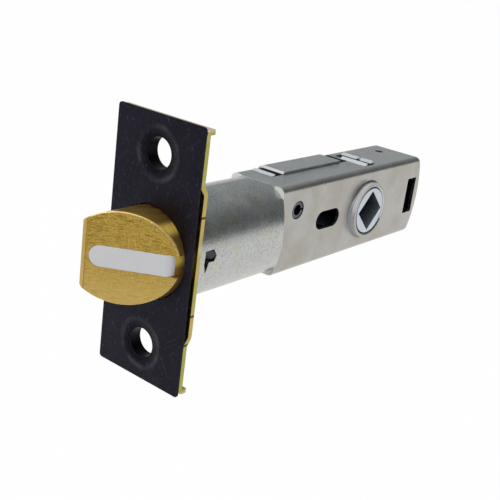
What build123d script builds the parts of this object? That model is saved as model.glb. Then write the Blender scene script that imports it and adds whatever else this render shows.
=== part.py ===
from build123d import *
from math import asin, cos, degrees, radians, sin
import os

os.makedirs("parts", exist_ok=True)

# Lever passage latch, in millimetres.
# Origin: bolt axis at the front of the faceplate. +Y runs into the door, +Z up.

# Faceplate
plate_width = 23.8
plate_height = 57.15
plate_corner_radius = 0.8
faceplate_thickness = 0.35
screw_end_distance = 7.925
screw_hole_diameter = 6.6
screw_collar_end = 3.3
screw_collar_gap = 0.1
dimple_diameter = 11.2
dimple_depth = 0.4
dimple_floor = 0.3
dimple_edge_radius = 2.0

# Back plate, bent from strip and set back behind the bolt
back_plate_thickness = 1.05
back_plate_inset = 0.5
setback_depth = 1.1
setback_height = 30.4
setback_run = 1.3
lip_length = 1.2
strip_bend_radius = 1.2

# Latch bolt
bolt_diameter = 19.5
bolt_clearance = 0.3
bolt_reach = 11.7
bolt_travel = 11.0
bolt_body_length = 18.5
bolt_flat_distance = 7.0
nose_land = 1.1
bevel_angle = 33.8
bevel_edge_radius = 0.3
bolt_bore_depth = 7.5
bolt_bore_clearance = 0.6

# Wear insert in the bevel, and the keyway that runs back from it
insert_width = 4.6
insert_start = 0.7
insert_depth = 1.2
insert_proud = 0.15
insert_fit = 0.03
keyway_depth = 1.7

# Barrel and case, one folded sheet
sheet = 1.0
barrel_diameter = 22.7
barrel_end = 30.4
shoulder_length = 3.0
case_width = 15.6
case_height = 21.2
case_bend_radius = 1.5
case_end = 97.1
case_end_top_drop = 1.9
case_end_bottom_drop = 2.8
case_end_edge_radius = 0.8
fold_inner_radius = 0.3
seam_gap = 0.2
match_tolerance = 0.01

# Lanced tongue in the barrel that rides in the bolt's keyway
lance_start = 4.4
lance_length = 3.7
lance_top = 2.65
lance_middle = 0.2
lance_tail = 2.2
lance_slit = 1.4
tongue_side_gap = 0.2
tongue_depth_gap = 0.4
tongue_reach = 2.0
tongue_root_inset = 0.25

# Folds, slots and holes in the case
slit_front = 31.2
slit_width = 0.5
slit_left = 5.0
slit_right = 2.3
flap_start = 43.0
flap_end = 67.0
flap_rise = 0.55
flap_end_chamfer = 0.5
flap_gap = 3.0
flap_inset = 6.3
gap_lip_rise = 0.4
gap_lip_run = 1.2
window_length = 3.4
lock_slot_gap = 1.2
lock_slot_length = 3.9
lock_slot_left = 5.0
lock_slot_right = 5.3
front_lip_left = 2.5
front_lip_rise = 0.55
front_lip_run = 1.1
lock_tab_rise = 0.5
lock_tab_run = 1.4
lock_tab_root = 0.3
lock_tab_notch = 0.9
lock_tab_notch_offset = 0.4
vent_diameter = 2.2
vent_offset = 2.0
vent_position = 89.0
slot_rise = 0.3
side_slot_position = 52.85
side_slot_length = 9.7
side_slot_height = 4.6
rear_slot_start = 90.2
rear_slot_length = 4.3
rear_slot_height = 9.8

# Hollow spring pin across the case, and the spring seat that it holds
pin_position = 39.7
pin_height = 4.67
pin_diameter = 4.0
pin_bore_diameter = 2.6
pin_slit = 0.5
pin_hole_clearance = 0.2
pin_fit = 0.03
pin_end_inset = 0.15
seat_sheet = 1.2
seat_pin_gap = 0.3
seat_height = 15.2
seat_side_gap = 0.2
ear_margin = 0.9

# Bolt spring
spring_wire = 1.2
spring_coils = 8
spring_diameter = 12.4
spring_end_gap = 0.05

# Draw bar from the bolt to the retractor, and its pin
bar_thickness = 2.0
bar_height = 6.0
bar_pin_gap = 0.65
bar_slot_gap = 0.1
bar_seat_gap = 0.4
bar_slot_depth = 8.0
bar_pin_diameter = 2.5
bar_pin_inset = 4.5
bar_pin_fit = 0.03
bar_pin_end_inset = 0.3
tenon_height = 4.0
rivet_head = 1.3
rivet_spread = 0.6

# Retractor stirrup round the hub
retractor_sheet = 1.2
retractor_width = 9.6
retractor_gap = 0.5
retractor_bend_radius = 1.6
sweep_clearance = 2.0
arm_slot_length = 6.5
arm_slot_gap = 0.4
hook_gap = 0.4
hook_hub_gap = 0.6

# Hub and the drawn collars that it turns in
backset = 69.85
spindle_square = 7.4
journal_diameter = 12.3
journal_clearance = 0.08
collar_wall = 1.0
collar_height = 1.6
collar_root_radius = 0.7
collar_edge_chamfer = 0.25
hub_recess = 0.15
hub_edge_chamfer = 0.3
hub_body_diameter = 12.0
hub_flange_diameter = 14.4
hub_flange_width = 1.2
hub_side_play = 0.3
arm_width = 4.0
arm_thickness = 2.2
arm_tip_radius = 0.45
arm_relief = 0.5
arm_clearance = 0.3

# Places that follow from the sizes above
plate_rear = faceplate_thickness
setback_front = plate_rear + setback_depth
barrel_front = setback_front + back_plate_thickness
lip_end = plate_rear + back_plate_thickness + lip_length
lip_height = plate_height / 2 - back_plate_inset
screw_spacing = plate_height - 2 * screw_end_distance
screw_hole_radius = screw_hole_diameter / 2
screw_collar_radius = screw_hole_radius + faceplate_thickness
bolt_radius = bolt_diameter / 2
bolt_hole_radius = bolt_radius + bolt_clearance
barrel_radius = barrel_diameter / 2
barrel_bore_radius = barrel_radius - sheet
case_front = barrel_end + shoulder_length
case_half_width = case_width / 2
case_half_height = case_height / 2
room_half_width = case_half_width - sheet
room_half_height = case_half_height - sheet
collar_bore_radius = journal_diameter / 2 + journal_clearance
collar_face = case_half_width + collar_height
keyway_floor = bolt_radius - keyway_depth
lance_end = lance_start + lance_length
tongue_tip = lance_end - tongue_reach
lock_slot_start = flap_end + window_length + lock_slot_gap
lock_slot_end = lock_slot_start + lock_slot_length
lock_tab_top = lock_slot_end + lock_tab_root
bolt_bore_floor = bolt_body_length - bolt_bore_depth
seat_reach = pin_diameter / 2 + seat_pin_gap + seat_sheet
seat_front = pin_position - seat_reach
bar_top = pin_height - pin_diameter / 2 - bar_pin_gap
bar_middle = bar_top - bar_height / 2
bar_slot_floor = bolt_bore_floor - bar_slot_depth
bar_pin_position = bolt_bore_floor - bar_pin_inset
arm_reach = room_half_height - arm_clearance
arm_tip_distance = arm_reach - arm_tip_radius
arm_lean = degrees(asin(bolt_travel / 2 / arm_tip_distance))
strap_outer = room_half_height - retractor_gap
strap_inner = strap_outer - retractor_sheet
hook_inner = hub_body_diameter / 2 + hook_hub_gap
hook_front = backset - bolt_travel / 2 + arm_tip_radius + hook_gap
hook_rear = hook_front + retractor_sheet
bar_end = backset - arm_reach - bolt_travel - sweep_clearance
web_rear = bar_end - rivet_head
web_front = web_rear - retractor_sheet
bevel_start = -bolt_flat_distance + nose_land
screw_heights = (screw_spacing / 2, -screw_spacing / 2)
side_view = Plane(origin=(0, 0, 0), x_dir=(0, 0, 1), z_dir=(-1, 0, 0))


def across(y):
    """Plane across the latch at depth y, with X to the right and Z up."""
    return Plane.XZ.offset(-y)


def barrel_and_case_form(inset):
    """Solid of the round barrel, its shoulder and the box, with every face moved in by inset."""
    radius = barrel_radius - inset
    half_width = case_half_width - inset
    half_height = case_half_height - inset
    front = case_front + inset
    rear = case_end - inset
    neck_end = case_front + sheet
    # Brings the inner slope forward, so that the sheet keeps its thickness there
    slope_shift = inset / 2
    bend = max(case_bend_radius - inset, fold_inner_radius)
    rear_bend = max(case_end_edge_radius - inset, fold_inner_radius)
    with BuildPart() as barrel:
        with BuildSketch(across(barrel_front)):
            Circle(radius)
        extrude(amount=barrel_front - neck_end)
        # Shoulder: flats that slope in to the box, in plan and from the side
        for view, half in ((Plane.XY, half_width), (side_view, half_height)):
            with BuildSketch(view):
                with BuildLine():
                    right = [
                        (radius, barrel_front),
                        (radius, barrel_end - slope_shift),
                        (half, case_front - slope_shift),
                        (half, neck_end),
                    ]
                    left = [(-x, y) for x, y in reversed(right)]
                    Polyline(*right, *left, close=True)
                make_face()
            extrude(amount=barrel_diameter, both=True, mode=Mode.INTERSECT)
    with BuildPart() as box:
        with BuildSketch(Plane.YZ):
            with BuildLine():
                top_end = (rear - case_end_top_drop, half_height)
                bottom_end = (rear - case_end_bottom_drop, -half_height)
                Polyline(bottom_end, (front, -half_height), (front, half_height), top_end)
                ThreePointArc(top_end, (rear, 0), bottom_end)
            make_face()
        extrude(amount=half_width, both=True)
        fillet(box.edges().filter_by(Axis.Y), bend)
        rear_face = box.faces().filter_by(GeomType.CYLINDER).sort_by(SortBy.AREA)[-1]
        fillet(rear_face.edges().filter_by(GeomType.CIRCLE), rear_bend)
    return barrel.part + box.part


# Faceplate
with BuildPart() as faceplate:
    with BuildSketch(Plane.XZ):
        RectangleRounded(plate_width, plate_height, plate_corner_radius)
        Circle(bolt_hole_radius, mode=Mode.SUBTRACT)
        with GridLocations(0, screw_spacing, 1, 2):
            Circle(dimple_diameter / 2, mode=Mode.SUBTRACT)
    extrude(amount=-faceplate_thickness)
    # Shallow dimple that turns into a straight collar round each screw
    for height in screw_heights:
        with BuildSketch(Plane.XY.offset(height)):
            with BuildLine():
                Polyline(
                    (dimple_diameter / 2, 0),
                    (screw_hole_radius + dimple_floor, dimple_depth),
                    (screw_hole_radius, dimple_depth),
                    (screw_hole_radius, screw_collar_end),
                    (screw_collar_radius, screw_collar_end),
                    (screw_collar_radius, dimple_depth + faceplate_thickness),
                    (dimple_diameter / 2, faceplate_thickness),
                    close=True,
                )
            make_face()
        revolve(axis=Axis((0, 0, height), (0, 1, 0)))
    front_rims = faceplate.faces().sort_by(Axis.Y)[0].inner_wires().edges()
    fillet(front_rims.sort_by(SortBy.RADIUS)[:2], dimple_edge_radius)
faceplate.part.label = "faceplate"
export_step(faceplate.part, "parts/faceplate.step")

# Back plate
with BuildPart() as back_plate:
    with BuildSketch(Plane.YZ):
        with BuildLine():
            upper_front = [
                (setback_front, setback_height / 2),
                (plate_rear, setback_height / 2 + setback_run),
                (plate_rear, lip_height),
                (lip_end, lip_height),
            ]
            lower_front = [(y, -z) for y, z in reversed(upper_front)]
            FilletPolyline(*lower_front, *upper_front, radius=strip_bend_radius)
            offset(amount=back_plate_thickness, side=Side.RIGHT)
        make_face()
    extrude(amount=plate_width / 2, both=True)
    with BuildSketch(Plane.XZ):
        Circle(bolt_hole_radius)
        with GridLocations(0, screw_spacing, 1, 2):
            Circle(screw_collar_radius + screw_collar_gap)
    extrude(amount=-barrel_front, mode=Mode.SUBTRACT)
    # Countersinks under the faceplate's dimples
    for height in screw_heights:
        with BuildSketch(Plane.XY.offset(height)):
            with BuildLine():
                Polyline(
                    (0, plate_rear),
                    (dimple_diameter / 2 + screw_collar_gap, plate_rear),
                    (screw_collar_radius + screw_collar_gap, plate_rear + dimple_depth),
                    (0, plate_rear + dimple_depth),
                    close=True,
                )
            make_face()
        revolve(axis=Axis((0, 0, height), (0, 1, 0)), mode=Mode.SUBTRACT)
back_plate.part.label = "back_plate"
export_step(back_plate.part, "parts/back_plate.step")

# Barrel and case
outer_form = barrel_and_case_form(0)
room_form = barrel_and_case_form(sheet)
with BuildPart() as barrel_case:
    add(outer_form)
    with BuildSketch(across(flap_start)):
        RectangleRounded(case_width, case_height + 2 * flap_rise, case_bend_radius)
        with Locations((-case_half_width, case_half_height)):
            Rectangle(case_width, 2 * case_bend_radius, mode=Mode.INTERSECT)
    extrude(amount=flap_start - flap_end)
    with BuildSketch(Plane.YZ):
        with BuildLine():
            flap_top = case_half_height + flap_rise
            Polyline(
                (flap_start, flap_top - flap_end_chamfer),
                (flap_start + flap_end_chamfer, flap_top),
                (flap_start, flap_top),
                close=True,
            )
        make_face()
    extrude(amount=-case_half_width, mode=Mode.SUBTRACT)
    # Drawn collars round the hub
    for side in (1, -1):
        with BuildSketch(Plane.YZ.offset(side * (case_half_width - sheet))):
            with Locations((backset, 0)):
                Circle(collar_bore_radius + collar_wall)
        extrude(amount=side * (collar_height + sheet))
    collar_roots = barrel_case.edges().filter_by(GeomType.CIRCLE).filter_by(
        lambda edge: abs(edge.radius - collar_bore_radius - collar_wall) < match_tolerance
        and abs(abs(edge.arc_center.X) - case_half_width) < match_tolerance
    )
    fillet(collar_roots, collar_root_radius)
    add(room_form, mode=Mode.SUBTRACT)
    with BuildSketch(Plane.YZ):
        with Locations((backset, 0)):
            Circle(collar_bore_radius)
        with Locations((pin_position, pin_height)):
            Circle(pin_diameter / 2 + pin_hole_clearance)
        with Locations((side_slot_position, slot_rise)):
            SlotOverall(side_slot_length, side_slot_height)
        with Locations((rear_slot_start + rear_slot_length / 2, slot_rise)):
            Rectangle(rear_slot_length, rear_slot_height)
    extrude(amount=collar_face, both=True, mode=Mode.SUBTRACT)
    collar_mouths = barrel_case.edges().filter_by(GeomType.CIRCLE).filter_by(
        lambda edge: abs(edge.radius - collar_bore_radius) < match_tolerance
        and abs(abs(edge.arc_center.X) - collar_face) < match_tolerance
    )
    chamfer(collar_mouths, collar_edge_chamfer)
    # Seam, slit, flap gap, window and lock slot in the top
    with BuildSketch(Plane.XY):
        with Locations((0, (flap_start + flap_end) / 2)):
            Rectangle(seam_gap, flap_end - flap_start)
        with Locations(((slit_right - slit_left) / 2, slit_front + slit_width / 2)):
            Rectangle(slit_left + slit_right, slit_width)
        with Locations((-flap_inset / 2, flap_start - flap_gap / 2)):
            Rectangle(flap_inset, flap_gap)
        with Locations((-flap_inset / 2, flap_end + window_length / 2)):
            Rectangle(flap_inset, window_length)
        with Locations(((lock_slot_right - lock_slot_left) / 2, lock_slot_start + lock_slot_length / 2)):
            Rectangle(lock_slot_left + lock_slot_right, lock_slot_length)
        with Locations((-vent_offset, vent_position)):
            Circle(vent_diameter / 2)
    extrude(amount=barrel_diameter, mode=Mode.SUBTRACT)
    # Raised lips: one before the flap gap, one before the lock slot, two behind it with a notch between
    gap_edge = flap_start - flap_gap
    notch_left = lock_tab_notch_offset - lock_tab_notch / 2
    notch_right = lock_tab_notch_offset + lock_tab_notch / 2
    for left, right, tall_end, run, rise in (
        (-flap_inset, -seam_gap, gap_edge, -gap_lip_run, gap_lip_rise),
        (-front_lip_left, lock_slot_right, lock_slot_start, -front_lip_run, front_lip_rise),
        (-lock_slot_left, notch_left, lock_tab_top, -lock_tab_run, lock_tab_rise),
        (notch_right, lock_slot_right - lock_tab_notch, lock_tab_top, -lock_tab_run, lock_tab_rise),
    ):
        with BuildSketch(Plane.YZ.offset(left)):
            with BuildLine():
                Polyline(
                    (tall_end, case_half_height - sheet),
                    (tall_end, case_half_height + rise),
                    (tall_end + run, case_half_height),
                    (tall_end + run, case_half_height - sheet),
                    close=True,
                )
            make_face()
        extrude(amount=right - left)
    # Lance in the barrel, with its tongue bent in from the rear
    with BuildSketch(Plane.YZ):
        with BuildLine():
            Polyline(
                (lance_start, 0),
                (lance_start + lance_slit / 3, lance_top),
                (lance_end - lance_slit / 2, lance_top),
                (lance_end, lance_top / 2),
                (lance_end - lance_slit / 2, lance_middle),
                (lance_start + lance_slit, lance_middle),
                (lance_start + lance_slit / 2, -lance_tail),
                close=True,
            )
        make_face()
    extrude(amount=barrel_diameter, mode=Mode.SUBTRACT)
    tongue_bottom = lance_middle + tongue_side_gap
    with BuildSketch(Plane.XY.offset(tongue_bottom)):
        with BuildLine():
            tip = keyway_floor + tongue_depth_gap
            Polyline(
                (barrel_bore_radius, lance_end + sheet),
                (barrel_bore_radius, lance_end),
                (tip, tongue_tip),
                (tip + sheet, tongue_tip),
                (barrel_radius - tongue_root_inset, lance_end),
                (barrel_radius - tongue_root_inset, lance_end + sheet),
                close=True,
            )
        make_face()
    extrude(amount=insert_width / 2 - tongue_side_gap - tongue_bottom)
barrel_case.part.label = "barrel_case"
export_step(barrel_case.part, "parts/barrel_case.step")

# Latch bolt
bevel_plane = Plane(
    origin=(bevel_start, -bolt_reach, 0),
    x_dir=(cos(radians(bevel_angle)), sin(radians(bevel_angle)), 0),
    z_dir=(sin(radians(bevel_angle)), -cos(radians(bevel_angle)), 0),
)
insert_end = (bolt_radius - bevel_start) / cos(radians(bevel_angle))
spring_radius = spring_diameter / 2
with BuildPart() as latch_bolt:
    with BuildSketch(across(-bolt_reach)):
        Circle(bolt_radius)
    extrude(amount=-bolt_reach - bolt_body_length)
    with BuildSketch(across(-bolt_reach)):
        with Locations((-bolt_flat_distance, 0)):
            Rectangle(bolt_diameter, bolt_diameter, align=(Align.MAX, Align.CENTER))
    extrude(amount=-bolt_reach - plate_rear, mode=Mode.SUBTRACT)
    with BuildSketch(bevel_plane):
        Rectangle(2 * bolt_diameter, 2 * bolt_diameter, align=(Align.MIN, Align.CENTER))
    extrude(amount=bolt_diameter, mode=Mode.SUBTRACT)
    bevel_face = latch_bolt.faces().filter_by(bevel_plane).sort_by(SortBy.AREA)[-1]
    fillet(bevel_face.edges().filter_by(GeomType.ELLIPSE), bevel_edge_radius)
    with BuildSketch(bevel_plane):
        with Locations((insert_start, 0)):
            SlotOverall(2 * insert_end, insert_width, align=(Align.MIN, Align.CENTER))
    extrude(amount=-insert_depth, mode=Mode.SUBTRACT)
    with BuildSketch(Plane.YZ.offset(keyway_floor)):
        with Locations((lance_end, 0)):
            Rectangle(lance_end + bolt_reach, insert_width, align=(Align.MAX, Align.CENTER))
    extrude(amount=keyway_depth, mode=Mode.SUBTRACT)
    with BuildSketch(across(bolt_body_length)):
        Circle(spring_radius + bolt_bore_clearance)
    extrude(amount=bolt_bore_depth, mode=Mode.SUBTRACT)
    with BuildSketch(across(bolt_bore_floor)):
        with Locations((0, bar_middle)):
            Rectangle(bar_thickness + 2 * bar_slot_gap, bar_height + 2 * bar_slot_gap)
    extrude(amount=bar_slot_depth, mode=Mode.SUBTRACT)
    with BuildSketch(Plane.YZ):
        with Locations((bar_pin_position, bar_middle)):
            Circle(bar_pin_diameter / 2)
    extrude(amount=bolt_radius, both=True, mode=Mode.SUBTRACT)
latch_bolt.part.label = "latch_bolt"
export_step(latch_bolt.part, "parts/latch_bolt.step")

# Wear insert
with BuildPart() as bolt_insert:
    with BuildSketch(bevel_plane.offset(-insert_depth)):
        with Locations((insert_start + insert_fit, 0)):
            SlotOverall(2 * insert_end, insert_width - 2 * insert_fit, align=(Align.MIN, Align.CENTER))
    extrude(amount=insert_depth + insert_proud)
    split(bisect_by=Plane.YZ.offset(keyway_floor), keep=Keep.BOTTOM)
bolt_insert.part.label = "bolt_insert"
export_step(bolt_insert.part, "parts/bolt_insert.step")

# Pin through the bolt and the draw bar
with BuildPart() as bar_pin:
    with BuildSketch(Plane.YZ.offset(-bolt_radius + bar_pin_end_inset)):
        with Locations((bar_pin_position, bar_middle)):
            Circle(bar_pin_diameter / 2 - bar_pin_fit)
    extrude(amount=bolt_radius + keyway_floor - 2 * bar_pin_end_inset)
bar_pin.part.label = "bar_pin"
export_step(bar_pin.part, "parts/bar_pin.step")

# Draw bar, with a tenon peened over behind the retractor
with BuildPart() as draw_bar:
    with BuildSketch(across(bar_slot_floor + bar_slot_gap)):
        with Locations((0, bar_middle)):
            Rectangle(bar_thickness, bar_height)
    extrude(amount=bar_slot_floor + bar_slot_gap - web_front)
    with BuildSketch(across(web_front)):
        with Locations((0, bar_middle)):
            Rectangle(bar_thickness, tenon_height)
    extrude(amount=-retractor_sheet)
    with BuildSketch(across(web_rear)):
        with Locations((0, bar_middle)):
            head_width = bar_thickness + 2 * rivet_spread
            RectangleRounded(head_width, tenon_height + 2 * rivet_spread, rivet_spread)
    extrude(amount=-rivet_head)
    with BuildSketch(Plane.YZ):
        with Locations((bar_pin_position, bar_middle)):
            Circle(bar_pin_diameter / 2)
    extrude(amount=bar_thickness, both=True, mode=Mode.SUBTRACT)
draw_bar.part.label = "draw_bar"
export_step(draw_bar.part, "parts/draw_bar.step")

# Retractor: a folded stirrup whose two hooks lie behind the hub's arms
with BuildPart() as retractor:
    with BuildSketch(Plane.YZ):
        with BuildLine():
            upper = [(web_front, strap_outer), (hook_rear, strap_outer), (hook_rear, hook_inner)]
            lower = [(y, -z) for y, z in reversed(upper)]
            FilletPolyline(*lower, *upper, radius=retractor_bend_radius)
            offset(amount=retractor_sheet, side=Side.RIGHT)
        make_face()
    extrude(amount=retractor_width / 2, both=True)
    with BuildSketch(Plane.XY):
        with Locations((0, hook_front)):
            Rectangle(
                arm_width + 2 * arm_slot_gap, arm_slot_length, align=(Align.CENTER, Align.MAX)
            )
    extrude(amount=case_height, both=True, mode=Mode.SUBTRACT)
    with BuildSketch(across(web_front)):
        with Locations((0, bar_middle)):
            Rectangle(bar_thickness, tenon_height)
    extrude(amount=-retractor_sheet, mode=Mode.SUBTRACT)
retractor.part.label = "retractor"
export_step(retractor.part, "parts/retractor.step")

# Spring seat: a plate across the case with two ears on the pin
seat_half_width = room_half_width - seat_side_gap
ear_radius = pin_diameter / 2 + ear_margin
with BuildPart() as spring_seat:
    with BuildSketch(across(seat_front)):
        Rectangle(2 * seat_half_width, seat_height)
        with Locations((0, bar_middle)):
            Rectangle(
                bar_thickness + 2 * bar_seat_gap, bar_height + 2 * bar_seat_gap, mode=Mode.SUBTRACT
            )
    extrude(amount=-seat_sheet)
    for side in (1, -1):
        with BuildSketch(Plane.YZ.offset(side * seat_half_width)):
            with Locations((pin_position, pin_height)):
                Circle(ear_radius)
                Rectangle(seat_reach, 2 * ear_radius, align=(Align.MAX, Align.CENTER))
                Circle(pin_diameter / 2, mode=Mode.SUBTRACT)
        extrude(amount=-side * seat_sheet)
spring_seat.part.label = "spring_seat"
export_step(spring_seat.part, "parts/spring_seat.step")

# Hollow pin, rolled from strip
with BuildPart() as spring_pin:
    with BuildSketch(Plane.YZ):
        with Locations((pin_position, pin_height)):
            Circle(pin_diameter / 2 - pin_fit)
            Circle(pin_bore_diameter / 2, mode=Mode.SUBTRACT)
        with Locations((pin_position + pin_diameter / 2, pin_height)):
            Rectangle(pin_diameter, pin_slit, mode=Mode.SUBTRACT)
    extrude(amount=case_half_width - pin_end_inset, both=True)
spring_pin.part.label = "spring_pin"
export_step(spring_pin.part, "parts/spring_pin.step")

# Bolt spring
coil_start = bolt_bore_floor + spring_end_gap + spring_wire / 2
coil_length = seat_front - bolt_bore_floor - 2 * spring_end_gap - spring_wire
with BuildPart() as bolt_spring:
    with BuildLine() as coil:
        Helix(
            pitch=coil_length / spring_coils,
            height=coil_length,
            radius=(spring_diameter - spring_wire) / 2,
            center=(0, coil_start, 0),
            direction=(0, 1, 0),
        )
    with BuildSketch(Plane(origin=coil.line @ 0, z_dir=coil.line % 0)):
        Circle(spring_wire / 2)
    sweep(is_frenet=True)
bolt_spring.part.label = "bolt_spring"
export_step(bolt_spring.part, "parts/bolt_spring.step")

# Hub with a square hole and two arms that lean towards the bolt
flange_face = room_half_width - hub_side_play
arm_root = hub_body_diameter / 2 - arm_thickness
with BuildPart() as hub:
    for diameter, half_length in (
        (journal_diameter, collar_face - hub_recess),
        (hub_flange_diameter, flange_face),
    ):
        with BuildSketch(Plane.YZ):
            with Locations((backset, 0)):
                Circle(diameter / 2)
        extrude(amount=half_length, both=True)
    with BuildSketch(Plane.YZ):
        with Locations((backset, 0)):
            Circle(hub_flange_diameter)
            Circle(hub_body_diameter / 2, mode=Mode.SUBTRACT)
    extrude(amount=flange_face - hub_flange_width, both=True, mode=Mode.SUBTRACT)
    for arm_side in (1, -1):
        lean = radians(arm_lean)
        arm_plane = Plane(
            origin=(0, backset, 0), x_dir=(0, -sin(lean), arm_side * cos(lean)), z_dir=(1, 0, 0)
        )
        with BuildSketch(arm_plane):
            with BuildLine():
                back = arm_side * (arm_relief - arm_tip_radius)
                front = back + arm_side * arm_thickness
                Polyline(
                    (arm_root, back),
                    (arm_tip_distance, back),
                    (arm_tip_distance, front),
                    (arm_root, front),
                    close=True,
                )
            make_face()
            with Locations((arm_tip_distance, 0)):
                Circle(arm_tip_radius)
        extrude(amount=arm_width / 2, both=True)
    with BuildSketch(Plane.YZ):
        with Locations((backset, 0)):
            Rectangle(spindle_square, spindle_square, rotation=45)
    extrude(amount=collar_face, both=True, mode=Mode.SUBTRACT)
    hub_ends = hub.faces().filter_by(Axis.X).sort_by(Axis.X)
    for end in (hub_ends[0], hub_ends[-1]):
        chamfer(end.edges().filter_by(GeomType.CIRCLE), hub_edge_chamfer)
hub.part.label = "hub"
export_step(hub.part, "parts/hub.step")
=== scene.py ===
"""Finish, wear insert, bolt spring and studio for a lever passage latch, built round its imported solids."""

from math import cos, radians, sin

import bpy
import numpy as np
from bpy.props import (
    FloatProperty,
    FloatVectorProperty,
    IntProperty,
    PointerProperty,
)
from bpy.types import Operator, Panel, PropertyGroup
from mathutils import Matrix, Vector


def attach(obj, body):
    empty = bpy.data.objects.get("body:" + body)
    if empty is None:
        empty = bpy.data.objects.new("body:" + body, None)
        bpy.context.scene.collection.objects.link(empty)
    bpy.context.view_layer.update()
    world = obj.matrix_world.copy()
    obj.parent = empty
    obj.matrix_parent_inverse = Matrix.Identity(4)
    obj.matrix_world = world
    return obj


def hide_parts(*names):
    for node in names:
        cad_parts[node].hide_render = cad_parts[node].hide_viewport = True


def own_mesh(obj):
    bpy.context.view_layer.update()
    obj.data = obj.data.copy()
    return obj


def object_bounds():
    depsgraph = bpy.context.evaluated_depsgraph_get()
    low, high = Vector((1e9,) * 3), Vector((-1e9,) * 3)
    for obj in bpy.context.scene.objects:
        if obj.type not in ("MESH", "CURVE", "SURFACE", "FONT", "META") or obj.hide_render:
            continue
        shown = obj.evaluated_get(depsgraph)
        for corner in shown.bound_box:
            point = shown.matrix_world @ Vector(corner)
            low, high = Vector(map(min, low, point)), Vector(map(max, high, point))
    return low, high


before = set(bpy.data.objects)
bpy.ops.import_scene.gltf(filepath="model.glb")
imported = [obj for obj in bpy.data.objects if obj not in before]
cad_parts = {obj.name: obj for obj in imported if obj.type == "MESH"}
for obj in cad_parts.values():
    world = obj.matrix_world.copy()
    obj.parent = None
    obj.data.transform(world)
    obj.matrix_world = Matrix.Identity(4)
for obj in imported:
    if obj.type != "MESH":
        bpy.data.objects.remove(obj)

bl_info = {
    "name": "Lever Passage Latch",
    "version": (1, 0, 0),
    "blender": (4, 5, 0),
    "location": "View3D > Sidebar > Latch",
    "description": "Dresses a packed lever passage latch with its finishes, inner spring and studio",
    "category": "Object",
}

MM = 0.001
CAD_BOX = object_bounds()

# The faceplate's screws: their height over the bolt's axis, the radius of their dimples' rims, how far
# round this the rims take a painted highlight, and the depths over which painted shade blackens the dimples
SCREW_HEIGHT = 20.65 * MM
DIMPLE_RIM = 5.4 * MM
RIM_HIGHLIGHT_HALF_WIDTH = 0.8 * MM
RIM_HIGHLIGHT_FULL = 0.1 * MM
DIMPLE_SHADE_FROM = 0.1 * MM
DIMPLE_SHADE_FULL = 0.45 * MM

# The back plate: the heights between which it greens and its lips start, the span over which the lips
# turn rosy, the long edges, and the marks of the shears across them
GREEN_FROM = 13.0 * MM
GREEN_FULL = 20.0 * MM
LIP_FROM = 27.4 * MM
LIP_FULL = 27.9 * MM
ROSE_FROM = -4.0 * MM
ROSE_FULL = 7.0 * MM
STRIP_EDGE = 11.8 * MM
SHEAR_HEIGHTS = (10.5 * MM, -10.5 * MM, -16.7 * MM)
SHEAR_HALF_WIDTH = 0.25 * MM

# The bolt's bevel, as in the solids: where it starts on the nose, and its slope
BEVEL_START = Vector((-5.9, -11.7, 0.0)) * MM
BEVEL_ANGLE = radians(33.8)

# The wear insert in it: its rounded end, half its width, its depth and rise, the plane that ends it,
# and the floor of the keyway that runs on from it
INSERT_START = 0.73 * MM
INSERT_HALF_WIDTH = 2.27 * MM
INSERT_DEPTH = 1.2 * MM
INSERT_RISE = 0.15 * MM
INSERT_END = 8.3 * MM
KEYWAY_FLOOR = 8.05 * MM

# The bolt's finish: the heights over which the bevel pales downwards, its belt lines deepen upwards and
# the keyway's painted highlight grows upwards, how deep the nose's land counts, and half the line that ends
# it
PALE_FROM = 1.0 * MM
PALE_FULL = -8.0 * MM
LINES_FROM = -5.0 * MM
LINES_FULL = 5.0 * MM
KEYWAY_HIGHLIGHT_FROM = -1.0 * MM
KEYWAY_HIGHLIGHT_FULL = 0.3 * MM
LAND_DEPTH = 0.4 * MM
RULE_HALF_WIDTH = 0.12 * MM

# Behind the plane of the bevel: the edge with its painted highlight, the turned body, and how far the body is
# hazy
EDGE_HIGHLIGHT_FROM = 0.02 * MM
EDGE_HIGHLIGHT_FULL = 0.1 * MM
BODY_FROM = 0.3 * MM
BODY_FULL = 0.5 * MM
HAZE_LENGTH = 6.0 * MM

# The painted highlight streaking along the turned body, as angles round its axis: its middle, up from +X,
# half its width, and half the width of its brightest part
STREAK_ANGLE = radians(48)
STREAK_HALF_ANGLE = radians(13)
STREAK_BRIGHT_ANGLE = radians(2)

# The bolt spring: its ends along the bolt's axis and its outer radius
SPRING_FRONT = 11.05 * MM
SPRING_REAR = 36.15 * MM
SPRING_RADIUS = 6.2 * MM

# Where the round barrel slopes in to the folded box, the inside of each, the bowed rear wall, and half
# the width of the barrel's seam
BARREL_END = 30.4 * MM
CASE_START = 33.4 * MM
BARREL_BORE = 11.15 * MM
ROOM_HALF_WIDTH = 6.9 * MM
ROOM_HALF_HEIGHT = 9.7 * MM
CASE_REAR = 97.1 * MM
REAR_BOW = 0.021 / MM
SEAM_HALF_WIDTH = 0.13 * MM

# The box's sides: where their warm cloud starts on the fold, where they lie, and the middle and half
# the width of the root and flank of the collars drawn out of them, the root painted in shade and the flank
# with a painted highlight that grows upwards between two heights
WARM_FROM = 6.0 * MM
CASE_SIDE = 7.7 * MM
COLLAR_ROOT = 8.1 * MM
ROOT_HALF_WIDTH = 0.28 * MM
COLLAR_FLANK = 8.85 * MM
FLANK_HALF_WIDTH = 0.47 * MM
HIGHLIGHT_FROM = -0.5 * MM
HIGHLIGHT_FULL = 1.5 * MM

# The facets at the box's upper front corners lie beyond these distances from the bolt's axis, and get a
# painted highlight there
FACET_SIDE = 5.0 * MM
FACET_HEIGHT = 7.0 * MM

# The box's upper flap: where it starts, its middle, and the top of the box
FLAP_START = 43.0 * MM
FLAP_MIDDLE = 55.0 * MM
CASE_TOP = 10.6 * MM
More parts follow.
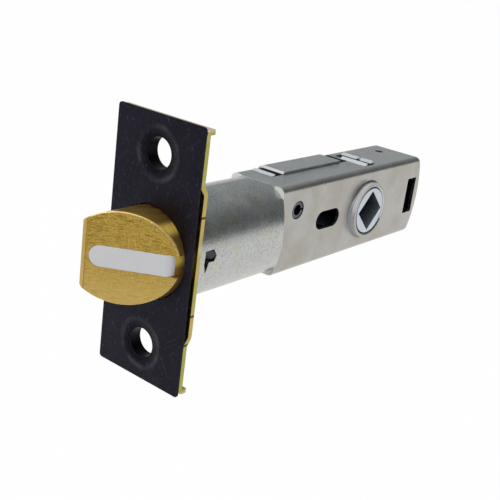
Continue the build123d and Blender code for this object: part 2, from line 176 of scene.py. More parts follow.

# The hub: its axis behind the front of the faceplate, where grease and painted shade fade out towards its
# ends, and the rim of these, painted in shade
BACKSET = 69.85 * MM
GREASE_AND_SHADE_FULL = 4.0 * MM
GREASE_AND_SHADE_END = 9.0 * MM
HUB_RIM_SHADE_FROM = 5.8 * MM
HUB_RIM_SHADE_FULL = 5.95 * MM

# How finely the new skins are cut, the share of the insert's half width that its face closes in by,
# the part of a quarter circle that its end uses, its smallest corner, and the angle that stays an edge
ARC_STEPS = 7
FACE_STEPS = 9
SIDE_STEPS = 12
NOSE_STEPS = 33
STEPS_PER_TURN = 28
WIRE_STEPS = 10
FACE_SHARE = 0.9
ROLL_SHARE = 0.98
LEAST_CORNER = 0.02 * MM
SHARP_ANGLE = radians(50)

# The studio, in metres: half the floor, the wall's radius, top and arc, the two lamps, and its colours
FLOOR_HALF = 6.0
WALL_RADIUS = 1.2
WALL_TOP = 1.6
WALL_ARC = (radians(-20), radians(200))
WALL_STEPS = 45
LAMP_AIM = Vector((0.0, 0.03, 0.0))
KEY_PLACE = Vector((-0.5, -0.25, 0.8))
KEY_SIZE = 1.0
FILL_PLACE = Vector((0.6, -0.5, 0.35))
FILL_SIZE = 0.4
FILL_SHARE = 0.2
WHITE = "#ffffff"
PAPER = "#f3f3f3"
CARD = "#f2f9fd"

# The photograph's camera: its eye in the latch's frame, its aim and its image
EYE = Vector((119.4, -124.7, 65.6)) * MM
CAMERA_AZIMUTH = radians(37.26)
CAMERA_ELEVATION = radians(19.29)
CAMERA_ROLL = radians(7.58)
IMAGE_WIDTH = 500
FOCAL_LENGTH = 902.8
IMAGE_CENTRE = (247.1, 238.7)
SENSOR_WIDTH = 36.0
CLIP_NEAR = 0.01
CLIP_FAR = 50.0


def linear(hex_colour):
    """sRGB hex text to linear red, green, blue and full alpha."""
    srgb = np.array([int(hex_colour[i:i + 2], 16) for i in (1, 3, 5)]) / 255
    return (*np.where(srgb <= 0.04045, srgb / 12.92, ((srgb + 0.055) / 1.055) ** 2.4), 1.0)


def per(size_mm):
    """Texture scale that repeats about once in size_mm, as Object coordinates are metres."""
    return 1 / (size_mm * MM)


def add_node(tree, kind, inputs, **settings):
    """Adds a node, sets its properties, and gives each input a value or a link.

    An input may be a socket, or a node, of which the first output in use is linked.
    """
    node = tree.nodes.new("ShaderNode" + kind)
    for name, value in settings.items():
        setattr(node, name, value)
    for socket, value in inputs.items():
        if isinstance(value, bpy.types.Node):
            value = next(output for output in value.outputs if output.enabled)
        if isinstance(value, bpy.types.NodeSocket):
            tree.links.new(value, node.inputs[socket])
        else:
            node.inputs[socket].default_value = value
    return node


def start_material(name):
    """An empty node material: returns it, its tree and the Object coordinates."""
    material = bpy.data.materials.new(name)
    material.use_nodes = True
    tree = material.node_tree
    tree.nodes.clear()
    return material, tree, add_node(tree, "TexCoord", {}).outputs["Object"]


def lay_coats(tree, tone, coats):
    """Lays coats over a tone in order, each a colour and the masks whose product says where it lies.

    A number among the masks thins the coat.
    """
    for colour, mask, *limits in coats:
        for limit in limits:
            mask = add_node(tree, "Math", {0: mask, 1: limit}, operation="MULTIPLY")
        tone = add_node(tree, "Mix", {"Factor": mask, "A": tone, "B": colour}, data_type="RGBA")
    return tone


def grit_bump(tree, place, grain_mm, strength, depth_mm):
    """Fine grit on a surface, as a bump from noise, drawn coarser than real so that it shows."""
    grit = add_node(tree, "TexNoise", {"Vector": place, "Scale": per(grain_mm)})
    return add_node(tree, "Bump", {"Height": grit, "Strength": strength, "Distance": depth_mm * MM})


def end_material(tree, inputs):
    """Closes a material with its shader, set and linked by inputs."""
    shader = add_node(tree, "BsdfPrincipled", inputs)
    add_node(tree, "OutputMaterial", {"Surface": shader})


def seen_rays(tree):
    """1 on the camera's rays and on those that metal or glass sends on, and 0 on other light."""
    path = add_node(tree, "LightPath", {}).outputs
    seen = add_node(tree, "Math", {
        0: path["Is Camera Ray"], 1: path["Is Glossy Ray"]}, operation="MAXIMUM")
    return add_node(tree, "Math", {0: seen, 1: path["Is Transmission Ray"]}, operation="MAXIMUM")


def finish_node(name, material):
    """Gives a carried-over solid its finish."""
    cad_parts[name].material_slots[0].material = material


def mesh_piece(name, rings, body, replaced, material):
    """Closes a grid of rings, each a loop of points, into a skin and rides it on a body."""
    count, around, _ = rings.shape
    points = rings.reshape(-1, 3)
    index = np.arange(count * around).reshape(count, around)
    turned = np.roll(index, -1, axis=1)
    quads = np.stack([index[:-1], turned[:-1], turned[1:], index[1:]], axis=-1).reshape(-1, 4)
    mesh = bpy.data.meshes.new(name)
    mesh.from_pydata(points.tolist(), [], quads.tolist() + [index[0][::-1].tolist(), index[-1].tolist()])
    mesh.polygons.foreach_set("use_smooth", np.ones(len(mesh.polygons), bool))
    mesh.set_sharp_from_angle(angle=SHARP_ANGLE)
    mesh.materials.append(material)
    piece = bpy.data.objects.new(name, mesh)
    bpy.context.scene.collection.objects.link(piece)
    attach(piece, body)
    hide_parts(replaced)
    return piece


def insert_skin(edge, crown, corner, roll):
    """The wear insert: pill outlines, stacked up its side, round its edge and in over its face.

    Each outline is a half circle at the nose, joined by straight sides to two small corners at the
    end plane. An outline is the first one moved in by e and lifted to height h. The side keeps e at
    zero, the edge takes a quarter circle from the side to the face, and the face rises by the
    crown c as c (1 - (1 - w)^2) over its way in, w, from 0 to 1. The end also falls back by a quarter
    circle of radius r, the roll, as r - sqrt(r^2 - (h - h0)^2) over the last r of the height, from h0
    on, so that the face rolls over into it.
    """
    turn = np.linspace(0, np.pi / 2, ARC_STEPS)
    way = np.linspace(0, 1, FACE_STEPS)[1:]
    face = INSERT_RISE - crown
    side = np.linspace(-INSERT_DEPTH, face - edge, SIDE_STEPS)[:-1]
    inset = np.concatenate([
        np.zeros_like(side),
        edge * (1 - np.cos(turn)),
        edge + way * (FACE_SHARE * INSERT_HALF_WIDTH - edge),
    ])
    height = np.concatenate([
        side, face - edge + edge * np.sin(turn), face + crown * (1 - (1 - way) ** 2)])
    climb = np.clip(height - face + roll, 0, ROLL_SHARE * roll)
    fall = roll - np.sqrt(roll ** 2 - climb ** 2)
    nose = np.linspace(np.pi / 2, 3 * np.pi / 2, NOSE_STEPS)
    low = np.linspace(-np.pi / 2, 0, ARC_STEPS)
    high = np.linspace(0, np.pi / 2, ARC_STEPS)
    half = (INSERT_HALF_WIDTH - inset)[:, None]
    small = np.maximum(corner - inset, LEAST_CORNER)[:, None]
    reach = INSERT_END - BEVEL_START.x - height * sin(BEVEL_ANGLE)
    end = (reach / cos(BEVEL_ANGLE) - np.maximum(inset, fall))[:, None]
    centre = INSERT_START + INSERT_HALF_WIDTH
    along = np.hstack([
        centre + half * np.cos(nose), end - small + small * np.cos(low), end - small + small * np.cos(high)])
    across = np.hstack([
        half * np.sin(nose), small - half + small * np.sin(low), half - small + small * np.sin(high)])
    lift = np.broadcast_to(height[:, None], along.shape)
    return np.stack([
        BEVEL_START.x + along * cos(BEVEL_ANGLE) + lift * sin(BEVEL_ANGLE),
        BEVEL_START.y + along * sin(BEVEL_ANGLE) - lift * cos(BEVEL_ANGLE),
        across,
    ], axis=-1)


def spring_skin(wire, turns):
    """The bolt spring: a wire circle carried along a helix with a closed turn at each end.

    The wire's middle runs at constant radius. It climbs by one wire in the first and last turns
    and evenly between them, so the way along is piecewise linear in the turn.
    """
    radius = SPRING_RADIUS - wire / 2
    turn = np.linspace(0, turns, STEPS_PER_TURN * turns + 1)
    first, last = SPRING_FRONT + wire / 2, SPRING_REAR - wire / 2
    along = np.interp(turn, [0, 1, turns - 1, turns], [first, first + wire, last - wire, last])
    angle = 2 * np.pi * turn
    outward = np.stack([np.cos(angle), np.zeros_like(angle), -np.sin(angle)], axis=-1)
    middle = radius * outward + along[:, None] * np.array([0.0, 1.0, 0.0])
    heading = np.gradient(middle, axis=0)
    heading /= np.linalg.norm(heading, axis=1, keepdims=True)
    side = np.cross(heading, outward)
    around = np.linspace(0, 2 * np.pi, WIRE_STEPS, endpoint=False)[None, :, None]
    return middle[:, None] + wire / 2 * (np.cos(around) * outward[:, None] + np.sin(around) * side[:, None])


def black_bronze(colours):
    """Steel with a chemically blackened bronze coat: near black, faintly violet, satin, pitted, scuffed, with
    painted shade in the dimples and a painted highlight on their rims.
    """
    material, tree, place = start_material("steel_blackened_bronze")
    axes = add_node(tree, "SeparateXYZ", {"Vector": place}).outputs
    cloud = add_node(tree, "TexNoise", {"Vector": place, "Scale": per(6.0), "Detail": 4.0})
    # Pits, drawn coarser than real so that they show
    rubbed = add_node(tree, "Mapping", {"Vector": place, "Scale": (per(0.45), per(0.45), per(1.1))})
    grit = add_node(tree, "TexNoise", {"Vector": rubbed, "Scale": 1.0})
    specks = add_node(tree, "MapRange", {"Value": grit, "From Min": 0.6, "From Max": 0.74, "To Max": 0.45})
    coats = [(colours.bronze_light, cloud), (colours.bronze_wear_and_highlight, specks)]
    # Scuffs that slant across the plate, a third of a millimetre wide, coarser than real so that they show
    for slant_deg in (35, -50):
        laid = add_node(tree, "Mapping", {"Vector": place, "Rotation": (0.0, radians(slant_deg), 0.0)})
        drawn = add_node(tree, "Mapping", {"Vector": laid, "Scale": (per(0.35), per(2.0), per(9.0))})
        lines = add_node(tree, "TexNoise", {"Vector": drawn, "Scale": 1.0})
        scuffs = add_node(tree, "MapRange", {
            "Value": lines, "From Min": 0.65, "From Max": 0.8, "To Max": 0.42})
        coats.append((colours.bronze_wear_and_highlight, scuffs))
    # Painted shade blackens the screw dimples and their holes, behind the plate's front face
    hollow = add_node(tree, "MapRange", {
        "Value": axes["Y"], "From Min": DIMPLE_SHADE_FROM, "From Max": DIMPLE_SHADE_FULL, "To Max": 0.85})
    # The dimples' rims get a painted highlight, paler in patches
    height = add_node(tree, "Math", {0: axes["Z"]}, operation="ABSOLUTE")
    height = add_node(tree, "Math", {0: height, 1: SCREW_HEIGHT}, operation="SUBTRACT")
    from_screw = add_node(tree, "CombineXYZ", {"X": axes["X"], "Y": height})
    from_screw = add_node(tree, "VectorMath", {0: from_screw}, operation="LENGTH")
    off_rim = add_node(tree, "Math", {0: from_screw, 1: DIMPLE_RIM}, operation="SUBTRACT")
    off_rim = add_node(tree, "Math", {0: off_rim}, operation="ABSOLUTE")
    rim = add_node(tree, "MapRange", {
        "Value": off_rim, "From Min": RIM_HIGHLIGHT_HALF_WIDTH, "From Max": RIM_HIGHLIGHT_FULL, "To Max": 0.45},
        interpolation_type="SMOOTHSTEP")
    patchy = add_node(tree, "MapRange", {"Value": cloud, "From Min": 0.42, "From Max": 0.62, "To Min": 0.15})
    coats += [(colours.bronze_painted_shade, hollow), (colours.bronze_wear_and_highlight, rim, patchy)]
    tone = lay_coats(tree, colours.bronze_dark, coats)
    bump = add_node(tree, "Bump", {"Height": grit, "Strength": 0.25, "Distance": 0.03 * MM})
    end_material(tree, {"Base Color": tone, "Metallic": 1.0, "Roughness": 0.42, "Normal": bump})
    return material


def yellow_zinc(colours):
    """Steel strip, zinc plated and yellow passivated: straw, drifting to green, with rosy spots."""
    material, tree, place = start_material("steel_zinc_yellow_passivated")
    axes = add_node(tree, "SeparateXYZ", {"Vector": place}).outputs
    drift = add_node(tree, "TexNoise", {"Vector": place, "Scale": per(11.0), "Detail": 2.0})
    green = add_node(tree, "MapRange", {"Value": drift, "From Min": 0.4, "From Max": 0.65})
    height = add_node(tree, "Math", {0: axes["Z"]}, operation="ABSOLUTE")
    ends = add_node(tree, "MapRange", {
        "Value": height, "From Min": GREEN_FROM, "From Max": GREEN_FULL, "To Max": 0.85})
    green = add_node(tree, "Math", {0: green, 1: ends}, operation="MAXIMUM")
    spots = add_node(tree, "TexNoise", {"Vector": place, "Scale": per(5.0)})
    spots = add_node(tree, "MapRange", {"Value": spots, "From Min": 0.55, "From Max": 0.7, "To Max": 0.6})
    # The lips: pale green turning rosy along them, and clouded, so they scatter light
    lip = add_node(tree, "MapRange", {"Value": height, "From Min": LIP_FROM, "From Max": LIP_FULL})
    rosy = add_node(tree, "MapRange", {"Value": axes["X"], "From Min": ROSE_FROM, "From Max": ROSE_FULL})
    lip_tone = lay_coats(tree, colours.passivate_pale, [(colours.passivate_rose, rosy)])
    metal = add_node(tree, "MapRange", {"Value": lip, "To Min": 1.0, "To Max": 0.3})
    coats = [(colours.passivate_green, green), (colours.passivate_rose, spots), (lip_tone, lip)]
    # Shear marks across the strip's two long edges
    side = add_node(tree, "Math", {0: axes["X"]}, operation="ABSOLUTE")
    edge = add_node(tree, "Math", {0: side, 1: STRIP_EDGE}, operation="GREATER_THAN")
    for shear_height in SHEAR_HEIGHTS:
        mark = add_node(tree, "Math", {
            0: axes["Z"], 1: shear_height, 2: SHEAR_HALF_WIDTH}, operation="COMPARE")
        coats.append((colours.shear_mark, mark, edge))
    tone = lay_coats(tree, colours.passivate_straw, coats)
    bump = grit_bump(tree, place, grain_mm=0.6, strength=0.25, depth_mm=0.04)
    end_material(tree, {"Base Color": tone, "Metallic": metal, "Roughness": 0.38, "Normal": bump})
    return material


def zinc_sheet(colours):
    """Folded steel sheet, zinc plated: satin grey, warm sides, sparkling on the barrel, painted shade inside
    and at the collar roots, painted highlights on the collars, upper corners and raised lips.
    """
    material, tree, place = start_material("steel_zinc_plated_folded")
    axes = add_node(tree, "SeparateXYZ", {"Vector": place}).outputs
    mottle = add_node(tree, "TexNoise", {"Vector": place, "Scale": per(4.0), "Detail": 4.0})
    # The box's sides are clouded warm
    cloud = add_node(tree, "TexNoise", {"Vector": place, "Scale": per(6.5), "Detail": 2.0})
    warm = add_node(tree, "MapRange", {
        "Value": cloud, "From Min": 0.4, "From Max": 0.65, "To Min": 0.45, "To Max": 0.85})
    side = add_node(tree, "Math", {0: axes["X"]}, operation="ABSOLUTE")
    on_side = add_node(tree, "MapRange", {"Value": side, "From Min": WARM_FROM, "From Max": CASE_SIDE})
    behind = add_node(tree, "Math", {0: axes["Y"], 1: CASE_START - 0.1 * MM}, operation="GREATER_THAN")
    # The drawn collars: painted shade at the root, a painted highlight on the flank, whitest high on it
    root = add_node(tree, "Math", {0: side, 1: COLLAR_ROOT, 2: ROOT_HALF_WIDTH}, operation="COMPARE")
    collar = add_node(tree, "Math", {0: side, 1: COLLAR_FLANK, 2: FLANK_HALF_WIDTH}, operation="COMPARE")
    collar = add_node(tree, "Math", {0: collar, 1: behind}, operation="MULTIPLY")
    collar_and_corner_highlight = add_node(tree, "MapRange", {
        "Value": axes["Z"], "From Min": HIGHLIGHT_FROM, "From Max": HIGHLIGHT_FULL})
    collar_and_corner_highlight = add_node(tree, "Math", {0: collar_and_corner_highlight, 1: collar}, operation="MULTIPLY")
    # The upper corners where the barrel meets the box get the painted highlight too
    corner = add_node(tree, "Math", {0: axes["Y"], 1: CASE_START, 2: 0.08 * MM}, operation="COMPARE")
    for axis, least in ((side, FACET_SIDE), (axes["Z"], FACET_HEIGHT)):
        beyond = add_node(tree, "Math", {0: axis, 1: least}, operation="GREATER_THAN")
        corner = add_node(tree, "Math", {0: corner, 1: beyond}, operation="MULTIPLY")
    collar_and_corner_highlight = add_node(tree, "Math", {0: collar_and_corner_highlight, 1: corner}, operation="MAXIMUM")

    # Mainly the barrel: straw tints, and the sparkle of the grain drawn coarse enough to show
    slope = {"Value": axes["Y"], "From Min": BARREL_END, "From Max": CASE_START}
    on_barrel = add_node(tree, "MapRange", {**slope, "To Min": 1.0, "To Max": 0.12})
    tint = add_node(tree, "TexNoise", {"Vector": place, "Scale": per(2.6)})
    tint = add_node(tree, "MapRange", {"Value": tint, "From Min": 0.5, "From Max": 0.68, "To Max": 0.6})
    grain = add_node(tree, "TexNoise", {"Vector": place, "Scale": per(0.5), "Detail": 2.0})
    sparkle = add_node(tree, "MapRange", {"Value": grain, "From Min": 0.54, "From Max": 0.72, "To Max": 0.55})
    hollows = add_node(tree, "MapRange", {"Value": grain, "From Min": 0.46, "From Max": 0.3, "To Max": 0.45})
    # The cut front end of the upper flap is darker
    flap_end = add_node(tree, "Math", {0: axes["Y"], 1: FLAP_START, 2: 0.55 * MM}, operation="COMPARE")
    raised = add_node(tree, "Math", {0: axes["Z"], 1: CASE_TOP + 0.03 * MM}, operation="GREATER_THAN")
    # The raised lips before and behind the flap get a painted highlight, pale and dull
    off_flap = add_node(tree, "Math", {
        0: axes["Y"], 1: FLAP_MIDDLE, 2: FLAP_MIDDLE - FLAP_START + 0.6 * MM}, operation="COMPARE")
    lips = add_node(tree, "Math", {0: 1.0, 1: off_flap}, operation="SUBTRACT")
    for limit in (raised, behind):
        lips = add_node(tree, "Math", {0: lips, 1: limit}, operation="MULTIPLY")
    # The barrel's seam along its top
    seam = add_node(tree, "Math", {0: axes["X"], 1: 0.0, 2: SEAM_HALF_WIDTH}, operation="COMPARE")
    upper = add_node(tree, "Math", {0: axes["Z"], 1: 0.0}, operation="GREATER_THAN")
    front = add_node(tree, "Math", {0: axes["Y"], 1: BARREL_END}, operation="LESS_THAN")

    # Painted shade inside: under the barrel's skin, and behind it also within the room of the box
    across = add_node(tree, "VectorMath", {0: place, 1: (1.0, 0.0, 1.0)}, operation="MULTIPLY")
    radius = add_node(tree, "VectorMath", {0: across}, operation="LENGTH")
    in_bore = add_node(tree, "Math", {0: radius, 1: BARREL_BORE}, operation="LESS_THAN")
    width = add_node(tree, "Math", {0: axes["X"], 1: 0.0, 2: ROOM_HALF_WIDTH}, operation="COMPARE")
    height = add_node(tree, "Math", {0: axes["Z"], 1: 0.0, 2: ROOM_HALF_HEIGHT}, operation="COMPARE")
    in_room = add_node(tree, "Math", {0: width, 1: height}, operation="MULTIPLY")
    inside = add_node(tree, "Math", {0: front, 1: in_room}, operation="MAXIMUM")
    # The rear wall bows out: its outer face lies at about CASE_REAR - REAR_BOW z^2
    bow = add_node(tree, "Math", {0: axes["Z"], 1: axes["Z"]}, operation="MULTIPLY")
    bow = add_node(tree, "Math", {0: bow, 1: REAR_BOW, 2: axes["Y"]}, operation="MULTIPLY_ADD")
    before_rear = add_node(tree, "Math", {0: bow, 1: CASE_REAR - 0.5 * MM}, operation="LESS_THAN")

    tone = lay_coats(tree, colours.zinc_dark, [
        (colours.zinc_light, mottle),
        (colours.zinc_warm, warm, on_side, behind),
        (colours.zinc_grain_and_shade, root, behind),
        (colours.zinc_sparkle_and_highlight, collar),
        (colours.zinc_straw, tint, on_barrel),
        (colours.zinc_sparkle_and_highlight, sparkle, on_barrel),
        (colours.zinc_grain_and_shade, hollows, on_barrel),
        (colours.zinc_painted_highlight, collar_and_corner_highlight),
        (colours.zinc_grain_and_shade, flap_end, raised, 0.7),
        (colours.zinc_sparkle_and_highlight, lips),
        (colours.zinc_grain_and_shade, seam, upper, front),
        (colours.zinc_painted_shade_inside, inside, in_bore, before_rear),
    ])
    polish = add_node(tree, "MapRange", {
        "Value": mottle, "From Min": 0.3, "From Max": 0.7, "To Min": 0.25, "To Max": 0.35})
    polish = add_node(tree, "Mix", {"Factor": collar, "A": polish, "B": 0.18})
    polish = add_node(tree, "Mix", {"Factor": lips, "A": polish, "B": 0.5})
    # The painted highlights on the corners, collars and lips are less metallic, so that they scatter light
    # and stay pale
    metal = add_node(tree, "MapRange", {"Value": collar_and_corner_highlight, "To Min": 1.0, "To Max": 0.1})
    metal = add_node(tree, "Mix", {"Factor": lips, "A": metal, "B": 0.35})
    depth = add_node(tree, "MapRange", {**slope, "To Min": 0.45, "To Max": 0.04})
    bump = add_node(tree, "Bump", {"Height": grain, "Strength": depth, "Distance": 0.06 * MM})
    end_material(tree, {"Base Color": tone, "Metallic": metal, "Roughness": polish, "Normal": bump})
    return material


def satin_brass(colours):
    """Brass, linished on a belt: olive gold with short dark lines, paler low on the bevel and on the nose,
    and painted highlights along the bevel's edge, the turned body and high in the keyway.
    """
    material, tree, place = start_material("brass_linished")
    axes = add_node(tree, "SeparateXYZ", {"Vector": place}).outputs
    laid = add_node(tree, "Mapping", {"Vector": place, "Rotation": (0.0, 0.0, -BEVEL_ANGLE)})
    # Speckle of the belt's grit, drawn coarser than real so that it shows
    grit = add_node(tree, "TexNoise", {"Vector": place, "Scale": per(0.32), "Detail": 2.0})
    speckle = add_node(tree, "MapRange", {"Value": grit, "From Min": 0.35, "From Max": 0.65})
    pale = add_node(tree, "MapRange", {
        "Value": axes["Z"], "From Min": PALE_FROM, "From Max": PALE_FULL, "To Max": 0.7})
    # Belt lines, a fifth of a millimetre wide and two long, coarser than real, deeper on the upper half
    drawn = add_node(tree, "Mapping", {"Vector": laid, "Scale": (per(2.0), per(2.0), per(0.2))})
    belt = add_node(tree, "TexNoise", {"Vector": drawn, "Scale": 1.0})
    lines = add_node(tree, "MapRange", {"Value": belt, "From Min": 0.52, "From Max": 0.68})
    depth = add_node(tree, "MapRange", {
        "Value": axes["Z"], "From Min": LINES_FROM, "From Max": LINES_FULL, "To Min": 0.25, "To Max": 0.7})
    # The flat land of the nose is paler, with a fine line where the bevel starts
    on_nose = add_node(tree, "Math", {0: axes["Y"], 1: BEVEL_START.y + LAND_DEPTH}, operation="LESS_THAN")
    off_nose = add_node(tree, "Math", {0: 1.0, 1: on_nose}, operation="SUBTRACT")
    land = add_node(tree, "MapRange", {
        "Value": axes["X"], "From Min": BEVEL_START.x, "From Max": BEVEL_START.x - 0.2 * MM, "To Max": 0.6})
    rule = add_node(tree, "Math", {0: axes["X"], 1: BEVEL_START.x, 2: RULE_HALF_WIDTH}, operation="COMPARE")
    # Behind the bevel: the edge with a painted highlight, then the turned body, whose warmth is a painted
    # reflection of light passed between bolt and plate
    below = add_node(tree, "SeparateXYZ", {"Vector": laid}).outputs["Y"]
    level = BEVEL_START.y * cos(BEVEL_ANGLE) - BEVEL_START.x * sin(BEVEL_ANGLE)
    turned = add_node(tree, "MapRange", {
        "Value": below, "From Min": level + BODY_FROM, "From Max": level + BODY_FULL})
    worn = add_node(tree, "MapRange", {
        "Value": below, "From Min": level + EDGE_HIGHLIGHT_FROM, "From Max": level + EDGE_HIGHLIGHT_FULL})
    worn = add_node(tree, "Math", {0: worn, 1: turned}, operation="SUBTRACT")
    worn = add_node(tree, "Math", {0: worn, 1: off_nose}, operation="MULTIPLY")
    turned = add_node(tree, "Math", {0: turned, 1: off_nose}, operation="MULTIPLY")
    # The keyway's floor is left as milled, and its upper half gets a painted highlight
    milled = add_node(tree, "Math", {0: axes["X"], 1: KEYWAY_FLOOR, 2: 0.3 * MM}, operation="COMPARE")
    middle = add_node(tree, "Math", {
        0: axes["Z"], 1: 0.0, 2: INSERT_HALF_WIDTH + 0.1 * MM}, operation="COMPARE")
    milled = add_node(tree, "Math", {0: milled, 1: middle}, operation="MULTIPLY")
    bright = add_node(tree, "MapRange", {
        "Value": axes["Z"], "From Min": KEYWAY_HIGHLIGHT_FROM, "From Max": KEYWAY_HIGHLIGHT_FULL, "To Max": 0.9})
    bright = add_node(tree, "Math", {0: bright, 1: milled}, operation="MULTIPLY")
    # A painted highlight: a bright streak along the turned body, broken by the lines of the turning, coarser
    # than real
    around = add_node(tree, "Math", {0: axes["Z"], 1: axes["X"]}, operation="ARCTAN2")
    off_streak = add_node(tree, "Math", {0: around, 1: STREAK_ANGLE}, operation="SUBTRACT")
    off_streak = add_node(tree, "Math", {0: off_streak}, operation="ABSOLUTE")
    streak = add_node(tree, "MapRange", {
        "Value": off_streak, "From Min": STREAK_HALF_ANGLE, "From Max": STREAK_BRIGHT_ANGLE},
        interpolation_type="SMOOTHSTEP")
    threads = add_node(tree, "Mapping", {"Vector": place, "Scale": (0.0, per(0.35), 0.0)})
    threads = add_node(tree, "TexNoise", {"Vector": threads, "Scale": 1.0})
    threads = add_node(tree, "MapRange", {
        "Value": threads, "From Min": 0.35, "From Max": 0.6, "To Min": 0.45, "To Max": 1.0})
    for limit in (turned, threads):
        streak = add_node(tree, "Math", {0: streak, 1: limit}, operation="MULTIPLY")

    tone = lay_coats(tree, colours.brass_dark, [
        (colours.brass_light, speckle),
        (colours.brass_pale, pale),
        (colours.brass_line, lines, depth),
        (colours.brass_pale, land, on_nose),
        (colours.brass_dark, rule, on_nose),
        (colours.brass_turned_and_reflection, turned, 0.75),
        (colours.brass_edge_highlight, worn),
        (colours.brass_painted_highlight, bright),
        (colours.brass_painted_highlight, streak),
    ])
    # The hazy body, the keyway, the edge's painted highlight and the streak also scatter light
    haze = add_node(tree, "MapRange", {
        "Value": below, "From Min": level, "From Max": level + HAZE_LENGTH, "To Min": 0.5, "To Max": 0.05})
    scatter = add_node(tree, "Math", {0: turned, 1: haze}, operation="MULTIPLY")
    for mark in (milled, worn, streak):
        scatter = add_node(tree, "Math", {0: scatter, 1: mark}, operation="MAXIMUM")
    metal = add_node(tree, "MapRange", {"Value": scatter, "To Min": 1.0, "To Max": 0.4})
    for mark in (streak, bright):
        metal = add_node(tree, "Mix", {"Factor": mark, "A": metal, "B": 0.0})
    polish = add_node(tree, "MapRange", {
        "Value": belt, "From Min": 0.3, "From Max": 0.7, "To Min": 0.3, "To Max": 0.45})
    bump = add_node(tree, "Bump", {"Height": belt, "Strength": 0.3, "Distance": 0.04 * MM})
    end_material(tree, {"Base Color": tone, "Metallic": metal, "Roughness": polish, "Normal": bump})
    return material


def white_nylon(colours):
    """Moulded nylon: matte white with the faint haze of the mould."""
    material, tree, place = start_material("nylon_moulded")
    haze = add_node(tree, "TexNoise", {"Vector": place, "Scale": per(2.5)})
    tone = lay_coats(tree, colours.nylon, [(colours.nylon_haze, haze)])
    bump = grit_bump(tree, place, grain_mm=0.6, strength=0.15, depth_mm=0.02)
    end_material(tree, {"Base Color": tone, "Roughness": 0.45, "IOR": 1.53, "Normal": bump})
    return material


def cloudy_steel(name, dark, light, roughness):
    """Steel, cloudy between two tones: dark where it is pressed and oiled, bright where it is drawn."""
    material, tree, place = start_material(name)
    cloud = add_node(tree, "TexNoise", {"Vector": place, "Scale": per(2.0)})
    tone = lay_coats(tree, dark, [(light, cloud)])
    bump = grit_bump(tree, place, grain_mm=0.4, strength=0.2, depth_mm=0.02)
    end_material(tree, {"Base Color": tone, "Metallic": 1.0, "Roughness": roughness, "Normal": bump})
    return material


def cast_zinc(colours):
    """Die-cast zinc, bare: bluish pale grey on the hub's ends, dark with grease and painted shade in its bore
    and in the case, and painted shade round the rims of its ends.
    """
    material, tree, place = start_material("zinc_die_cast")
    axes = add_node(tree, "SeparateXYZ", {"Vector": place}).outputs
    cloud = add_node(tree, "TexNoise", {"Vector": place, "Scale": per(1.5)})
    side = add_node(tree, "Math", {0: axes["X"]}, operation="ABSOLUTE")
    # Grease and painted shade darken the hub within the case
    grease_and_shade = add_node(tree, "MapRange", {
        "Value": side, "From Min": GREASE_AND_SHADE_FULL, "From Max": GREASE_AND_SHADE_END, "To Min": 1.0, "To Max": 0.0})
    # A ring of painted shade also darkens the rims of the ends, where they turn in the collars
    from_axis = add_node(tree, "VectorMath", {
        0: place, 1: (0.0, 1.0, 1.0), 2: (0.0, -BACKSET, 0.0)}, operation="MULTIPLY_ADD")
    from_axis = add_node(tree, "VectorMath", {0: from_axis}, operation="LENGTH")
    rim = add_node(tree, "MapRange", {
        "Value": from_axis, "From Min": HUB_RIM_SHADE_FROM, "From Max": HUB_RIM_SHADE_FULL})
    grease_and_shade = add_node(tree, "Math", {0: grease_and_shade, 1: rim}, operation="MAXIMUM")
    tone = lay_coats(tree, colours.hub, [(colours.hub_light, cloud), (colours.hub_grease_and_shade, grease_and_shade)])
    bump = grit_bump(tree, place, grain_mm=0.4, strength=0.25, depth_mm=0.02)
    end_material(tree, {"Base Color": tone, "Metallic": 1.0, "Roughness": 0.42, "Normal": bump})
    return material


